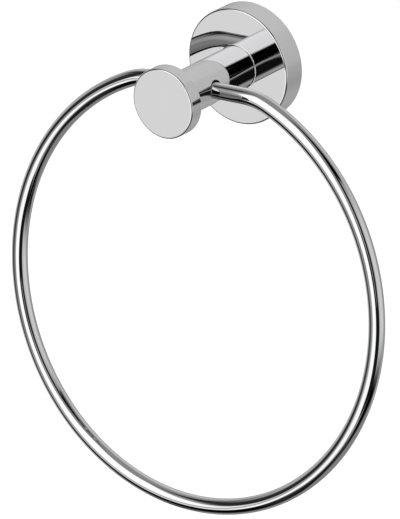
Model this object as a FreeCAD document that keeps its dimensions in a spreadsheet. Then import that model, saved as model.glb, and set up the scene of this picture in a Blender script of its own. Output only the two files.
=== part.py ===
import FreeCAD, Part
import math
import os
import re
import Sketcher

# Towel ring on a round post, millimetres.
# The origin is on the wall plane at the flange's centre, +Z is up and -Y points into the room.
# Depth means distance from the wall, along -Y.

DIMENSIONS = [
    # Flange cover, a cup that is open towards the wall
    ("flange_radius", 26.2),
    ("flange_depth", 11.4),
    ("flange_edge_round", 0.8),
    ("flange_side_wall", 3.1),
    ("flange_front_wall", 2.6),
    ("flange_inner_round", 0.8),
    # Post with its button head
    ("post_radius", 9.7),
    ("post_reach", 65.4),
    ("post_foot_cove", 0.4),
    ("post_foot_lip", 0.2),
    ("post_foot_land", 0.2),
    ("button_radius", 15.6),
    ("button_thickness", 7.2),
    ("button_edge_round", 0.7),
    # Locating spigot on the post's foot, with a flat that stops it turning
    ("spigot_radius", 5.0),
    ("spigot_length", 2.0),
    ("spigot_flat_height", 4.2),
    ("spigot_clearance", 0.1),
    # Cross bore for the ring
    ("bore_radius", 4.0),
    ("bore_depth", 39.65),
    ("bore_rim_round", 0.35),
    # Ring: a circle with a flattened top
    ("wire_radius", 3.6),
    ("wire_end_chamfer", 0.4),
    ("ring_radius", 96.0),
    ("ring_flat_drop", 4.8),
    ("ring_bend_radius", 32.0),
    ("ring_lean_angle", 6.9),
    ("ring_end_gap", 0.3),
    ("ring_rest_angle", 30.0),
    # Screws, with threads left plain, and the room between a thread and its hole
    ("thread_clearance", 0.05),
    ("seat_clearance", 0.02),
    ("post_thread_radius", 3.0),
    ("post_screw_length", 16.0),
    ("post_screw_head_radius", 5.0),
    ("post_screw_head_height", 4.0),
    ("post_screw_key", 4.0),
    ("post_screw_key_depth", 2.3),
    ("washer_radius", 5.9),
    ("washer_thickness", 1.6),
    ("washer_split", 1.2),
    ("clamp_screw_length", 8.0),
    ("clamp_screw_point_radius", 2.0),
    ("clamp_screw_key", 3.0),
    ("clamp_screw_key_depth", 3.5),
    ("rim_thread_radius", 2.5),
    ("rim_screw_length", 4.0),
    ("rim_screw_depth", 3.2),
    ("rim_screw_key", 2.5),
    ("rim_screw_key_depth", 1.6),
    ("rim_screw_point_radius", 0.6),
    ("screw_end_chamfer", 0.5),
    # Wall plate
    ("plate_thickness", 5.0),
    ("plate_clearance", 0.6),
    ("plate_bevel", 2.5),
    ("plate_edge_land", 0.4),
    ("plate_hole_clearance", 2.5),
    ("slot_width", 4.8),
    ("slot_length", 7.0),
]

# Sizes that follow from the ones above
DERIVED = [
    ("flange_inner_radius", "flange_radius - flange_side_wall"),
    ("flange_inner_depth", "flange_depth - flange_front_wall"),
    ("flange_hole_radius", "spigot_radius + spigot_clearance"),
    ("flange_flat_height", "spigot_flat_height + spigot_clearance"),
    ("post_foot_radius", "post_radius + post_foot_cove + post_foot_lip"),
    ("post_foot_end", "flange_depth + post_foot_land"),
    ("spigot_end", "flange_depth - spigot_length"),
    ("button_back", "post_reach - button_thickness"),
    ("post_hole_radius", "post_thread_radius + thread_clearance"),
    ("ring_rest_offset", "bore_radius - wire_radius - seat_clearance"),
    ("ring_line_depth", "bore_depth + ring_rest_offset * cos(ring_rest_angle)"),
    ("ring_line_drop", "ring_rest_offset * sin(ring_rest_angle)"),
    ("ring_flat_height", "ring_radius - ring_flat_drop"),
    ("ring_bend_rise", "ring_flat_height - ring_bend_radius"),
    ("ring_bend_reach", "ring_radius - ring_bend_radius"),
    ("ring_straight_half", "sqrt(ring_bend_reach ^ 2 - ring_bend_rise ^ 2)"),
    ("clamp_screw_tip", "ring_line_depth - wire_radius - seat_clearance"),
    ("clamp_screw_back", "clamp_screw_tip - clamp_screw_length"),
    ("clamp_screw_shoulder", "clamp_screw_tip - post_thread_radius + clamp_screw_point_radius"),
    ("washer_front", "flange_inner_depth - seat_clearance"),
    ("washer_back", "washer_front - washer_thickness"),
    ("post_screw_seat", "washer_back - seat_clearance"),
    ("post_screw_top", "post_screw_seat - post_screw_head_height"),
    ("post_screw_end", "post_screw_seat + post_screw_length"),
    ("plate_radius", "flange_inner_radius - plate_clearance"),
    ("plate_wall_radius", "plate_radius - plate_bevel"),
    ("plate_bevel_depth", "plate_thickness - plate_edge_land"),
    ("plate_hole_radius", "post_screw_head_radius + plate_hole_clearance"),
    ("slot_middle", "(plate_hole_radius + plate_wall_radius) / 2"),
    ("slot_half_run", "(slot_length - slot_width) / 2"),
    ("plate_bevel_slope", "plate_bevel / plate_bevel_depth"),
    ("rim_screw_contact", "plate_bevel_slope * (rim_screw_depth + rim_screw_point_radius)"),
    ("rim_screw_tip", "plate_wall_radius + rim_screw_contact + seat_clearance"),
    ("rim_screw_cone", "rim_thread_radius - rim_screw_point_radius"),
    ("rim_hole_radius", "rim_thread_radius + thread_clearance"),
]

NAMES = {alias for alias, content in DIMENSIONS + DERIVED}
ORIGIN = FreeCAD.Vector(0, 0, 0)
UP = FreeCAD.Vector(0, 0, 1)
OUT_OF_WALL = FreeCAD.Rotation(UP, 90)
SIDE_ON = FreeCAD.Rotation(FreeCAD.Vector(0, 1, 0), 180)
NEAR = 0.001
SMALLEST_CUT = 0.01


def fill_sheet(document):
    """Write the driving sizes and the derived ones into the document's sheet."""
    sheet = document.addObject("Spreadsheet::Sheet", "sizes")
    rows = [(alias, str(value)) for alias, value in DIMENSIONS]
    rows += [(alias, "=" + formula) for alias, formula in DERIVED]
    for row, (alias, content) in enumerate(rows, start=1):
        sheet.set(f"A{row}", alias)
        sheet.set(f"B{row}", content)
        sheet.setAlias(f"B{row}", alias)
    document.recompute()
    return sheet


def bound(formula):
    """Turn a formula of size names into an expression that reads the sheet."""
    return re.sub(r"[a-z]\w+", lambda word: "sizes." + word[0] if word[0] in NAMES else word[0], formula)


def worked_out(formula):
    """Give a formula's present value."""
    return float(sizes.evalExpression(bound(formula)))


def new_body(label):
    body = doc.addObject("PartDesign::Body", label)
    body.Label = label
    return body


def new_sketch(body, name, role, depth=None, turn=FreeCAD.Rotation()):
    """Attach a sketch to one of the body's own planes.

    depth is a formula for its offset along the plane's normal, and turn rotates the
    sketch in its own frame.
    """
    sketch = body.newObject("Sketcher::SketchObject", name)
    plane = next(item for item in body.Origin.OriginFeatures if item.Role == role)
    sketch.AttachmentSupport = [(plane, "")]
    sketch.MapMode = "FlatFace"
    sketch.AttachmentOffset = FreeCAD.Placement(ORIGIN, turn)
    if depth:
        sketch.setExpression(".AttachmentOffset.Base.z", bound(depth))
    return sketch


def hold(sketch, kind, formula, *where):
    """Add a dimension to a sketch and bind it to a formula of the sheet's sizes."""
    index = sketch.addConstraint(Sketcher.Constraint(kind, *where, worked_out(formula)))
    sketch.setExpression(f"Constraints[{index}]", bound(formula))


def hold_point(sketch, geometry, point, across, up):
    """Hold one point of a sketch at a formula for each coordinate."""
    hold(sketch, "DistanceX", across, -1, 1, geometry, point)
    hold(sketch, "DistanceY", up, -1, 1, geometry, point)


def spot(across, up):
    return FreeCAD.Vector(worked_out(across), worked_out(up), 0)


def draw_outline(sketch, corners):
    """Draw a closed outline of straight edges through corners given as formulas."""
    places = [spot(across, up) for across, up in corners]
    edges = [
        sketch.addGeometry(Part.LineSegment(start, end))
        for start, end in zip(places, places[1:] + places[:1])
    ]
    for edge, following in zip(edges, edges[1:] + edges[:1]):
        sketch.addConstraint(Sketcher.Constraint("Coincident", edge, 2, following, 1))
    for edge, (across, up) in zip(edges, corners):
        hold_point(sketch, edge, 1, across, up)


def draw_circle(sketch, across, up, radius):
    """Draw a circle whose centre and radius are formulas."""
    circle = sketch.addGeometry(Part.Circle(spot(across, up), UP, worked_out(radius)))
    hold_point(sketch, circle, 3, across, up)
    hold(sketch, "Radius", radius, circle)


def draw_flatted_circle(sketch, radius, flat_height):
    """Draw a circle about the origin with one flat across its top."""
    size = worked_out(radius)
    height = worked_out(flat_height)
    corner = math.asin(height / size)
    half_flat = size * math.cos(corner)
    circle = Part.Circle(ORIGIN, UP, size)
    arc = sketch.addGeometry(Part.ArcOfCircle(circle, math.pi - corner, 2 * math.pi + corner))
    right = FreeCAD.Vector(half_flat, height, 0)
    left = FreeCAD.Vector(-half_flat, height, 0)
    flat = sketch.addGeometry(Part.LineSegment(right, left))
    sketch.addConstraint(Sketcher.Constraint("Coincident", arc, 3, -1, 1))
    sketch.addConstraint(Sketcher.Constraint("Coincident", arc, 2, flat, 1))
    sketch.addConstraint(Sketcher.Constraint("Coincident", flat, 2, arc, 1))
    sketch.addConstraint(Sketcher.Constraint("Horizontal", flat))
    hold(sketch, "Radius", radius, arc)
    hold(sketch, "DistanceY", flat_height, -1, 1, flat, 1)


def draw_hexagon(sketch, across_flats):
    """Draw a regular hexagon about the origin, two of its sides upright."""
    corners = [
        (
            f"{across_flats} / 2 / cos(30) * cos({angle})",
            f"{across_flats} / 2 / cos(30) * sin({angle})",
        )
        for angle in range(30, 390, 60)
    ]
    draw_outline(sketch, corners)


def turned(body, corners):
    """Turn an outline of radius and depth corners about the axis that runs out of the wall."""
    sketch = new_sketch(body, body.Label + "_outline", "YZ_Plane", turn=OUT_OF_WALL)
    draw_outline(sketch, corners)
    doc.recompute()
    revolution = body.newObject("PartDesign::Revolution", body.Label + "_turned")
    revolution.Profile = sketch
    revolution.ReferenceAxis = (sketch, ["V_Axis"])
    revolution.Angle = 360
    doc.recompute()
    return revolution


def pad(body, sketch, length):
    """Raise a sketch along its normal."""
    doc.recompute()
    feature = body.newObject("PartDesign::Pad", sketch.Name + "_pad")
    feature.Profile = sketch
    feature.setExpression("Length", bound(length))
    doc.recompute()
    return feature


def cut(body, sketch, length=None, reverse=False, both_ways=False):
    """Cut a sketch out of the body: to a length, or right through without one."""
    doc.recompute()
    before = body.Shape.Volume
    feature = body.newObject("PartDesign::Pocket", sketch.Name + "_cut")
    feature.Profile = sketch
    feature.Reversed = reverse
    if both_ways:
        feature.SideType = "Symmetric"
    if length:
        feature.setExpression("Length", bound(length))
    else:
        feature.Type = "ThroughAll"
    doc.recompute()
    if before - body.Shape.Volume < SMALLEST_CUT:
        raise RuntimeError(f"{feature.Name} removes nothing")
    return feature


def is_round(radius, depth):
    """Make a test for the circular edge of a given radius and depth about the post's axis."""
    size = worked_out(radius)
    place = worked_out(depth)

    def test(edge):
        curve = edge.Curve
        if not isinstance(curve, Part.Circle):
            return False
        return abs(curve.Radius - size) < NEAR and abs(curve.Center.y + place) < NEAR

    return test


def finish_edges(body, name, kind, size_property, formula, *tests):
    """Fillet or chamfer the edges of the body that pass one of the tests."""
    base = body.Tip
    names = [
        f"Edge{number}"
        for number, edge in enumerate(base.Shape.Edges, start=1)
        if any(test(edge) for test in tests)
    ]
    if len(names) < len(tests):
        raise RuntimeError(f"{name} finds too few edges")
    feature = body.newObject("PartDesign::" + kind, name)
    feature.Base = (base, names)
    feature.setExpression(size_property, bound(formula))
    doc.recompute()
    return feature


def rounded(body, name, radius, *tests):
    return finish_edges(body, name, "Fillet", "Radius", radius, *tests)


def chamfered(body, name, size, *tests):
    return finish_edges(body, name, "Chamfer", "Size", size, *tests)


def socket(body, across_flats, key_depth, from_depth):
    """Cut a hexagon socket into the end of a screw that faces the wall."""
    sketch = new_sketch(body, body.Label + "_socket", "XZ_Plane", depth=from_depth)
    draw_hexagon(sketch, across_flats)
    cut(body, sketch, length=key_depth, reverse=True)


# Flange cover: a turned cup with a keyed hole for the post and a tapped hole in its underside

def make_flange_cover():
    body = new_body("flange_cover")
    turned(body, [
        ("0", "flange_inner_depth"),
        ("flange_inner_radius", "flange_inner_depth"),
        ("flange_inner_radius", "0"),
        ("flange_radius", "0"),
        ("flange_radius", "flange_depth"),
        ("0", "flange_depth"),
    ])
    rounded(body, "flange_edge", "flange_edge_round", is_round("flange_radius", "flange_depth"))
    rounded(
        body, "flange_inner_corner", "flange_inner_round",
        is_round("flange_inner_radius", "flange_inner_depth"),
    )
    keyed_hole = new_sketch(body, "keyed_hole", "XZ_Plane", depth="flange_depth")
    draw_flatted_circle(keyed_hole, "flange_hole_radius", "flange_flat_height")
    cut(body, keyed_hole)
    rim_hole = new_sketch(body, "rim_hole", "XY_Plane")
    draw_circle(rim_hole, "0", "-rim_screw_depth", "rim_hole_radius")
    cut(body, rim_hole)
    return body


# Post: turned from one bar with its button head, foot cove and keyed spigot

def on_bore_rim(edge):
    """Tell whether an edge is where the cross bore breaks out of the post's side."""
    post = worked_out("post_radius")
    bore = worked_out("bore_radius")
    depth = worked_out("bore_depth")
    places = [vertex.Point for vertex in edge.Vertexes] + [edge.CenterOfMass]
    ends = places[:-1]
    on_post = all(abs(math.hypot(place.x, place.z) - post) < NEAR for place in ends)
    on_bore = all(abs(math.hypot(place.y + depth, place.z) - bore) < NEAR for place in ends)
    return on_post and on_bore and abs(places[-1].x) > bore


def make_post():
    body = new_body("post")
    turned(body, [
        ("0", "flange_depth"),
        ("post_foot_radius", "flange_depth"),
        ("post_foot_radius", "post_foot_end"),
        ("post_radius", "post_foot_end"),
        ("post_radius", "button_back"),
        ("button_radius", "button_back"),
        ("button_radius", "post_reach"),
        ("0", "post_reach"),
    ])
    rounded(body, "foot_cove", "post_foot_cove", is_round("post_radius", "post_foot_end"))
    rounded(
        body, "button_edges", "button_edge_round",
        is_round("button_radius", "button_back"),
        is_round("button_radius", "post_reach"),
    )
    spigot = new_sketch(body, "spigot", "XZ_Plane", depth="spigot_end")
    draw_flatted_circle(spigot, "spigot_radius", "spigot_flat_height")
    pad(body, spigot, "spigot_length")
    cross_bore = new_sketch(body, "cross_bore", "YZ_Plane", turn=SIDE_ON)
    draw_circle(cross_bore, "bore_depth", "0", "bore_radius")
    cut(body, cross_bore, both_ways=True)
    rounded(body, "bore_rims", "bore_rim_round", on_bore_rim)
    tapped_hole = new_sketch(body, "tapped_hole", "XZ_Plane", depth="bore_depth")
    draw_circle(tapped_hole, "0", "0", "post_hole_radius")
    cut(body, tapped_hole)
    return body


# Ring: round wire along a circle whose top is flattened, its ends meeting in the cross bore

def make_towel_ring():
    body = new_body("towel_ring")
    lean = FreeCAD.Rotation(FreeCAD.Vector(-1, 0, 0), worked_out("ring_lean_angle"))
    path = new_sketch(body, "ring_path", "XZ_Plane", depth="ring_line_depth", turn=lean)
    path.setExpression(".AttachmentOffset.Base.y", bound("-ring_line_drop"))
    path.setExpression(".AttachmentOffset.Rotation.Angle", bound("ring_lean_angle"))
    gap = worked_out("ring_end_gap / 2")
    flat = worked_out("ring_flat_height")
    bend = worked_out("ring_bend_radius")
    round_size = worked_out("ring_radius")
    straight = worked_out("ring_straight_half")
    turn_end = math.atan2(worked_out("ring_bend_rise"), straight)
    round_centre = FreeCAD.Vector(0, -flat, 0)
    big_circle = Part.Circle(round_centre, UP, round_size)
    sides = []
    for side in (1, -1):
        inner = FreeCAD.Vector(side * gap, 0, 0)
        outer = FreeCAD.Vector(side * straight, 0, 0)
        bend_circle = Part.Circle(FreeCAD.Vector(side * straight, -bend, 0), UP, bend)
        start, end = (turn_end, math.pi / 2) if side > 0 else (math.pi / 2, math.pi - turn_end)
        line = path.addGeometry(Part.LineSegment(inner, outer))
        corner = path.addGeometry(Part.ArcOfCircle(bend_circle, start, end))
        sides.append((line, corner, side))
    hoop = path.addGeometry(Part.ArcOfCircle(big_circle, math.pi - turn_end, 2 * math.pi + turn_end))
    for line, corner, side in sides:
        straight_end, round_end = (2, 1) if side > 0 else (1, 2)
        hoop_end = 2 if side > 0 else 1
        path.addConstraint(Sketcher.Constraint("Tangent", line, 2, corner, straight_end))
        path.addConstraint(Sketcher.Constraint("Tangent", corner, round_end, hoop, hoop_end))
        path.addConstraint(Sketcher.Constraint("PointOnObject", line, 2, -1))
        hold_point(path, line, 1, f"{side} * ring_end_gap / 2", "0")
        hold(path, "Radius", "ring_bend_radius", corner)
    hold(path, "Radius", "ring_radius", hoop)
    hold_point(path, hoop, 3, "0", "-ring_flat_height")
    section = new_sketch(body, "wire_section", "YZ_Plane", depth="ring_end_gap / 2")
    draw_circle(section, "-ring_line_depth", "-ring_line_drop", "wire_radius")
    doc.recompute()
    wire = body.newObject("PartDesign::AdditivePipe", "bent_wire")
    wire.Profile = section
    wire.Spine = (path, [])
    doc.recompute()
    ends = [
        lambda edge, side=side: len(edge.Vertexes) == 1
        and abs(edge.Vertexes[0].X - side * gap) < NEAR
        for side in (1, -1)
    ]
    chamfered(body, "wire_ends", "wire_end_chamfer", *ends)
    return body


# Screws and washer behind the flange and in the post

def make_post_screw():
    body = new_body("post_screw")
    turned(body, [
        ("0", "post_screw_top"),
        ("post_screw_head_radius - screw_end_chamfer", "post_screw_top"),
        ("post_screw_head_radius", "post_screw_top + screw_end_chamfer"),
        ("post_screw_head_radius", "post_screw_seat"),
        ("post_thread_radius", "post_screw_seat"),
        ("post_thread_radius", "post_screw_end - screw_end_chamfer"),
        ("post_thread_radius - screw_end_chamfer", "post_screw_end"),
        ("0", "post_screw_end"),
    ])
    socket(body, "post_screw_key", "post_screw_key_depth", "post_screw_top")
    return body


def make_post_lock_washer():
    body = new_body("post_lock_washer")
    turned(body, [
        ("post_hole_radius", "washer_back"),
        ("washer_radius", "washer_back"),
        ("washer_radius", "washer_front"),
        ("post_hole_radius", "washer_front"),
    ])
    split = new_sketch(body, "washer_gap", "YZ_Plane", turn=SIDE_ON)
    draw_outline(split, [
        ("washer_back - washer_split", "-washer_split"),
        ("washer_front + washer_split", "0"),
        ("washer_front + washer_split", "washer_split"),
        ("washer_back - washer_split", "0"),
    ])
    cut(body, split, reverse=True)
    return body


def make_ring_clamp_screw():
    body = new_body("ring_clamp_screw")
    turned(body, [
        ("0", "clamp_screw_back"),
        ("post_thread_radius - screw_end_chamfer", "clamp_screw_back"),
        ("post_thread_radius", "clamp_screw_back + screw_end_chamfer"),
        ("post_thread_radius", "clamp_screw_shoulder"),
        ("clamp_screw_point_radius", "clamp_screw_tip"),
        ("0", "clamp_screw_tip"),
    ])
    socket(body, "clamp_screw_key", "clamp_screw_key_depth", "clamp_screw_back")
    return body


def make_flange_grub_screw():
    """Model the screw along the post's axis, and then stand it up under the rim."""
    body = new_body("flange_grub_screw")
    turned(body, [
        ("0", "0"),
        ("rim_thread_radius - screw_end_chamfer", "0"),
        ("rim_thread_radius", "screw_end_chamfer"),
        ("rim_thread_radius", "rim_screw_length - rim_screw_cone"),
        ("rim_screw_point_radius", "rim_screw_length"),
        ("0", "rim_screw_length"),
    ])
    socket(body, "rim_screw_key", "rim_screw_key_depth", "0")
    body.Placement = FreeCAD.Placement(ORIGIN, FreeCAD.Rotation(FreeCAD.Vector(1, 0, 0), -90))
    body.setExpression("Placement.Base.y", bound("-rim_screw_depth"))
    body.setExpression("Placement.Base.z", bound("-rim_screw_tip - rim_screw_length"))
    doc.recompute()
    return body


# Wall plate: a disc with a bevelled edge and two slots for the wall screws

def make_wall_plate():
    body = new_body("wall_plate")
    turned(body, [
        ("plate_hole_radius", "0"),
        ("plate_wall_radius", "0"),
        ("plate_radius", "plate_bevel_depth"),
        ("plate_radius", "plate_thickness"),
        ("plate_hole_radius", "plate_thickness"),
    ])
    slot = new_sketch(body, "screw_slot", "XZ_Plane", depth="plate_thickness")
    half_width = worked_out("slot_width / 2")
    middles = ["slot_middle - slot_half_run", "slot_middle + slot_half_run"]
    inner, outer = [spot(middle, "0") for middle in middles]
    lift = FreeCAD.Vector(0, half_width, 0)
    quarter = math.pi / 2
    near_end = slot.addGeometry(Part.ArcOfCircle(Part.Circle(inner, UP, half_width), quarter, 3 * quarter))
    bottom = slot.addGeometry(Part.LineSegment(inner - lift, outer - lift))
    far_end = slot.addGeometry(Part.ArcOfCircle(Part.Circle(outer, UP, half_width), -quarter, quarter))
    top = slot.addGeometry(Part.LineSegment(outer + lift, inner + lift))
    slot.addConstraint(Sketcher.Constraint("Tangent", near_end, 2, bottom, 1))
    slot.addConstraint(Sketcher.Constraint("Tangent", bottom, 2, far_end, 1))
    slot.addConstraint(Sketcher.Constraint("Tangent", far_end, 2, top, 1))
    slot.addConstraint(Sketcher.Constraint("Tangent", top, 2, near_end, 1))
    hold_point(slot, near_end, 3, middles[0], "0")
    hold_point(slot, far_end, 3, middles[1], "0")
    hold(slot, "Radius", "slot_width / 2", near_end)
    first_slot = cut(body, slot)
    mirror = body.newObject("PartDesign::Mirrored", "second_slot")
    mirror.Originals = [first_slot]
    mirror.MirrorPlane = (slot, ["V_Axis"])
    body.Tip = mirror
    doc.recompute()
    return body


def check_document():
    """Stop when an object of the document is failed, or a sub-part's shape isn't sound."""
    for item in doc.Objects:
        if "Invalid" in item.State or "Error" in item.State:
            raise RuntimeError(f"{item.Name} is {item.State}")
    for body in bodies:
        if body.Shape.isNull() or not body.Shape.isValid() or len(body.Shape.Solids) != 1:
            raise RuntimeError(f"{body.Label} has no sound shape")


doc = FreeCAD.newDocument("towel_ring")
sizes = fill_sheet(doc)
bodies = [
    make_flange_cover(),
    make_wall_plate(),
    make_flange_grub_screw(),
    make_post(),
    make_post_lock_washer(),
    make_post_screw(),
    make_ring_clamp_screw(),
    make_towel_ring(),
]
doc.recompute()
check_document()
os.makedirs("parts", exist_ok=True)
for body in bodies:
    body.Shape.exportStep(f"parts/{body.Label}.step")
    print(body.Label, round(body.Shape.Volume, 2), len(body.Shape.Faces))
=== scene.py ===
"""Looks for a wall mounted towel ring: chromed flange, post and ring, with the hidden plate and screws.

Sizes are in millimetres until a mesh is made. Depth is the distance from the wall, along -Y.
"""

import logging
import math
from dataclasses import dataclass
from enum import Enum
from typing import Any, Callable, Dict, List, Optional, Sequence, Tuple, Union

import bpy
import numpy as np
from mathutils import Matrix, Vector

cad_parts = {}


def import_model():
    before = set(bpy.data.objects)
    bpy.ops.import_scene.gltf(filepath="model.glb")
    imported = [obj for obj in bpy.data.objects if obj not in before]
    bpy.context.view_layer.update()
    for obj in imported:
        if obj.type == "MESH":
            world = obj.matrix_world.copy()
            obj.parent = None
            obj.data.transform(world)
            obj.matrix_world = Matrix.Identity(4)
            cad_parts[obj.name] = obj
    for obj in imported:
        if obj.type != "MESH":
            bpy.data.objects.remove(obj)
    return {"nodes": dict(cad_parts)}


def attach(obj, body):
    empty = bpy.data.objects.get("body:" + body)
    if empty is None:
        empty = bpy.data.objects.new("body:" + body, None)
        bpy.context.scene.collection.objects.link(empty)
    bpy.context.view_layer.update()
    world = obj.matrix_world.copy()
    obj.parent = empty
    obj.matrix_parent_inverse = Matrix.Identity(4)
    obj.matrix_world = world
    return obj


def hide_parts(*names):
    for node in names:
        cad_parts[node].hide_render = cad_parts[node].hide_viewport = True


MM = 0.001
FULL_TURN = 2 * math.pi
QUARTER_TURN = math.pi / 2
HALF_TURN_DEGREES = 180
WELD_GRID = 1e-5
WELD_OFFSET = 3.17e-6
SLACK = 1e-9
TINY = 1e-12
TO_ROOM, TO_WALL = -1.0, 1.0
INWARD, OUTWARD = -1.0, 1.0
WHITE = (1.0, 1.0, 1.0, 1.0)

log = logging.getLogger("towel_ring")

Array = np.ndarray
Spot = Tuple[float, float]
Pair = Tuple[Array, Array]
Radius = Callable[[Array], Array]
Place = Callable[[Array, Array], Pair]
Tree = bpy.types.NodeTree
Socket = bpy.types.NodeSocket


@dataclass
class Skin:
    """A surface patch on a grid: its points, and the way that each point faces.

    A flat patch takes only its faces' side from the normals, and is shaded face by face.
    """

    points: Array
    normals: Array
    flat: bool = False

    def moved(self, factors: Sequence[float], shift: Sequence[float] = (0.0, 0.0, 0.0)) -> "Skin":
        """The same patch with each coordinate times its factor, 1 or -1, and then shifted."""
        return Skin(self.points * factors + shift, self.normals * factors, self.flat)


def stacked(*parts: Array) -> Array:
    """Joins coordinate arrays of one shape into points."""
    return np.stack(np.broadcast_arrays(*parts), axis=-1).astype(float)


def around_axis(radius: Array, depth: Array, angle: Array) -> Array:
    """Points at a radius and a depth on the axis that runs out of the wall."""
    return stacked(radius * np.cos(angle), -depth, radius * np.sin(angle))


def joined(*parts: Array) -> Array:
    """Chains rising values, each part starting where the one before it ends."""
    return np.concatenate([parts[0]] + [part[1:] for part in parts[1:]])


def even(start: float, end: float, steps: int) -> Array:
    """Values from start to end in even steps."""
    return np.linspace(start, end, steps + 1)


def corner_steps(steps: int) -> Array:
    """Values from -1 to 1 that a turning pointer meets on a square's side: tangents of even angles."""
    return np.tan(even(-math.pi / 4, math.pi / 4, steps))


@dataclass(frozen=True)
class Window:
    """A rectangle in a panel's two parameters, cut around a hole."""

    middle: Spot
    half: Spot
    steps: int = 24

    def stops(self, which: int) -> Array:
        """Values of one parameter at the points along the window's sides."""
        return self.middle[which] + self.half[which] * corner_steps(self.steps)

    def turns(self) -> Array:
        """Even angles round the window, from one corner back to it."""
        return even(-0.75 * math.pi, 1.25 * math.pi, 4 * self.steps)

    def rim(self) -> Array:
        """Points on the window's edge at those angles: the pointer's direction over its longer part."""
        pointer = np.array([np.cos(self.turns()), np.sin(self.turns())])
        middle, half = np.array([self.middle, self.half])[..., None]
        return middle + half * pointer / np.abs(pointer).max(axis=0)


@dataclass(frozen=True)
class Panel:
    """A surface in two parameters with windows, each filled by rings that close in on a hole.

    Around the windows the panel is a plain grid. Inside one, a point is (1 - t) of the hole's
    edge and t of the window's edge, so that the rings go evenly from one to the other.
    """

    columns: Array
    span: Spot
    place: Place
    windows: Tuple[Window, ...]
    holes: Tuple[Pair, ...]
    row_steps: Tuple[int, int]
    rings: int = 14
    crowding: float = 1.6

    def skins(self) -> List[Skin]:
        """Gives the grid around the windows, and the rings inside each."""
        found = []
        edge = self.columns[0]
        for window in self.windows:
            low_side, high_side = window.stops(0)[[0, -1]]
            low_end, high_end = window.stops(1)[[0, -1]]
            found += [
                self._part((edge, low_side), self.span),
                self._part((low_side, high_side), (self.span[0], low_end)),
                self._part((low_side, high_side), (high_end, self.span[1])),
            ]
            edge = high_side
        found.append(self._part((edge, self.columns[-1]), self.span))
        found += [self._rings(window, hole) for window, hole in zip(self.windows, self.holes)]
        return [skin for skin in found if min(skin.points.shape[:2]) > 1]

    def _part(self, across: Spot, along: Spot) -> Skin:
        """Gives the grid between two values of each parameter."""
        inside = [
            values[np.abs(values - sum(ends) / 2) < (ends[1] - ends[0]) / 2 + SLACK]
            for values, ends in ((self.columns, across), (self._rows(), along))
        ]
        return Skin(*self.place(*np.meshgrid(*inside, indexing="ij")))

    def _rows(self) -> Array:
        """Gives the second parameter's values: even steps up to the windows, their stops, even steps on."""
        stops = self.windows[0].stops(1)
        before, after = self.row_steps
        return joined(even(self.span[0], stops[0], before), stops, even(stops[-1], self.span[1], after))

    def _rings(self, window: Window, hole: Pair) -> Skin:
        """Gives the rings between a hole's edge and its window's edge."""
        share = even(0, 1, self.rings)[:, None] ** self.crowding
        ways = [(1 - share) * inner + share * outer for inner, outer in zip(hole, window.rim())]
        return Skin(*self.place(*ways))


def round_columns(windows: Sequence[Window], steps: int) -> Array:
    """Angles of a whole turn from the first window on, with even steps from each window to the next."""
    stops = [window.stops(0) for window in windows]
    ends = [after[0] for after in stops[1:]] + [stops[0][0] + FULL_TURN]
    parts = []
    for own, end in zip(stops, ends):
        parts += [own, even(own[-1], end, steps)]
    return joined(*parts)


def cylinder_place(radius: float, facing: float) -> Place:
    """Places (angle, depth) on a cylinder about the post's axis, facing outward or inward."""

    def place(angle: Array, depth: Array) -> Pair:
        """Gives the points and the way they face."""
        return around_axis(radius, depth, angle), facing * around_axis(1.0, 0 * depth, angle)

    return place


def flat_place(depth: float, facing: float) -> Place:
    """Places (angle, radius) on a plane across the post's axis, facing the room or the wall."""

    def place(angle: Array, radius: Array) -> Pair:
        """Gives the points and the way they face."""
        return around_axis(radius, depth, angle), stacked(0 * angle, facing, 0 * angle)

    return place


def lathe_arc(centre: Spot, size: float, start: float, end: float, columns: Array, steps: int) -> Skin:
    """Turns an arc of the profile: a point is the centre plus the arc's radius, swung from start to end.

    The centre is a radius and a depth. The angles are in degrees from the way away from the axis,
    growing towards the room. A negative size is a hollow arc's radius.
    """
    swing = np.radians(even(start, end, steps))
    turn, arc = np.meshgrid(columns, swing, indexing="ij")
    bulge = abs(size)
    side = math.copysign(1.0, size)
    points = around_axis(centre[0] + bulge * np.cos(arc), centre[1] + bulge * np.sin(arc), turn)
    return Skin(points, side * around_axis(np.cos(arc), np.sin(arc), turn))


def lathe_lines(points: Sequence[Spot], columns: Array, steps: int = 1) -> List[Skin]:
    """Turns straight stretches of the profile, each facing to the right of the way from point to point.

    Right is seen with the radius to the right and the depth upwards.
    """
    turn, share = np.meshgrid(columns, even(0, 1, steps), indexing="ij")
    skins = []
    for start, end in zip(points, points[1:]):
        reach, rise = end[0] - start[0], end[1] - start[1]
        length = math.hypot(reach, rise)
        places = around_axis(start[0] + reach * share, start[1] + rise * share, turn)
        skins.append(Skin(places, around_axis(rise / length, -reach / length, turn)))
    return skins


def keyed_radius(radius: float, flat_height: float) -> Radius:
    """Gives a circle's radius at each angle, cut short by a flat across its top."""

    def at(angle: Array) -> Array:
        """The radius at an angle."""
        rise = np.maximum(np.sin(angle), TINY)
        return np.minimum(radius, flat_height / rise)

    return at


def keyed_face(
    inner: Radius, outer: float, depth: float, facing: float, columns: Array, steps: int
) -> Skin:
    """A flat face from a keyed edge to a circle: its radius is a share of each."""
    turn, share = np.meshgrid(columns, even(0, 1, steps), indexing="ij")
    radius = (1 - share) * inner(turn) + share * outer
    return Skin(*flat_place(depth, facing)(turn, radius))


def keyed_wall(radius: Radius, start: float, end: float, columns: Array, facing: float) -> Skin:
    """The wall of a keyed hole or spigot, flat where the key is."""
    turn, depth = np.meshgrid(columns, np.array([start, end]), indexing="ij")
    return Skin(around_axis(radius(turn), depth, turn), facing * around_axis(1.0, 0 * depth, turn), True)


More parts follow.
